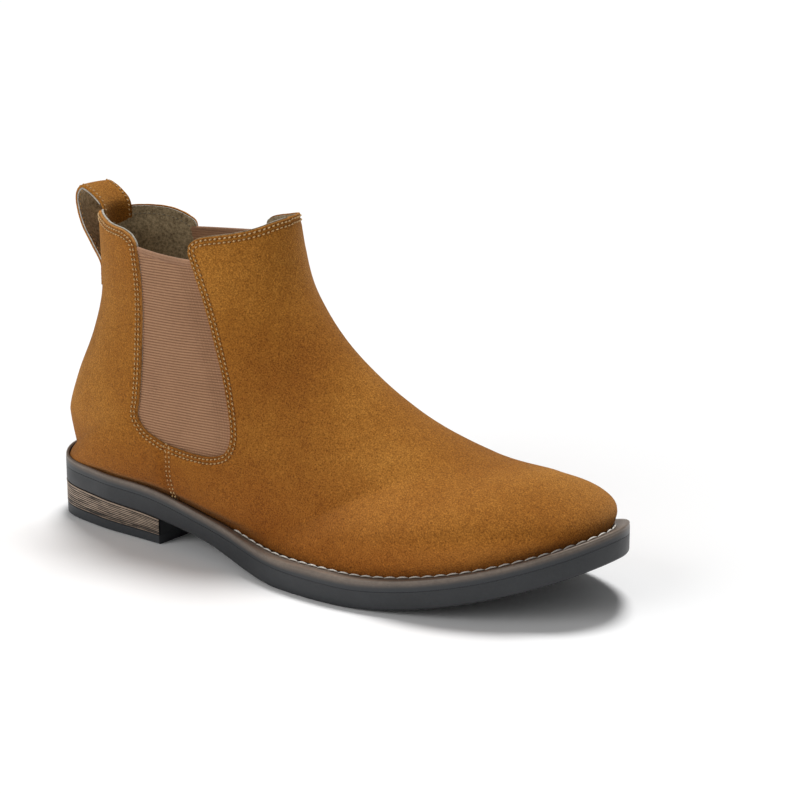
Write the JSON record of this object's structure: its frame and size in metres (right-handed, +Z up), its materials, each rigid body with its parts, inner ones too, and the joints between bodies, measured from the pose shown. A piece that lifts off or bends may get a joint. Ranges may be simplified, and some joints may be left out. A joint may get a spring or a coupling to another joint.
{
  "type": "chelsea boot",
  "caption": "Right ankle boot with elastic side panels, a stitched welt, a low stacked heel and a pull loop at the back of the collar.",
  "frame": {"origin": "centre of the boot's plan outline, on the floor", "axes": "+X to the toe, +Y to the inner side of the foot, +Z up"},
  "size_m": [0.298, 0.1056, 0.1568],
  "materials": {
    "suede": "tan suede, short nap",
    "lining": "grey-brown felted lining",
    "elastic": "ribbed pink-brown elastic",
    "binding": "folded tape",
    "stiffener": "stiff board",
    "canvas": "woven cotton",
    "sole_rubber": "matt charcoal",
    "top_lift_rubber": "matt charcoal",
    "welt": "semi-matt brown-grey",
    "thread": "waxed off-white thread",
    "cork": "pressed cork",
    "fibre_board": "fibre board",
    "heel_foam": "soft foam",
    "steel": "brushed",
    "stacked_leather": "fine horizontal stripes, brown and black"
  },
  "bodies": {
    "root": {"vamp": "suede", "quarter_lateral": "suede", "quarter_medial": "suede", "pull_tab": "suede", "vamp_lining": "lining", "quarter_lining": "lining", "pull_tab_lining": "lining", "sock_liner": "lining", "gore_lateral": "elastic", "gore_medial": "elastic", "gore_binding_lateral": "binding", "gore_binding_medial": "binding", "toe_puff": "stiffener", "heel_counter": "stiffener", "vamp_interlining": "canvas", "back_stay": "canvas", "outsole": "sole_rubber", "heel_block": "sole_rubber", "top_lift": "top_lift_rubber", "welt": "welt", "welt_stitch": "thread", "cork_filler": "cork", "heel_seat_filler": "fibre_board", "insole_board": "fibre_board", "heel_pad": "heel_foam", "shank": "steel", "shank_rivet_back": "steel", "shank_rivet_front": "steel", "heel_wrap": "stacked_leather", "heel_nail_1": "steel", "heel_nail_2": "steel", "heel_nail_3": "steel", "heel_nail_4": "steel", "heel_nail_5": "steel"}
  },
  "joints": []
}
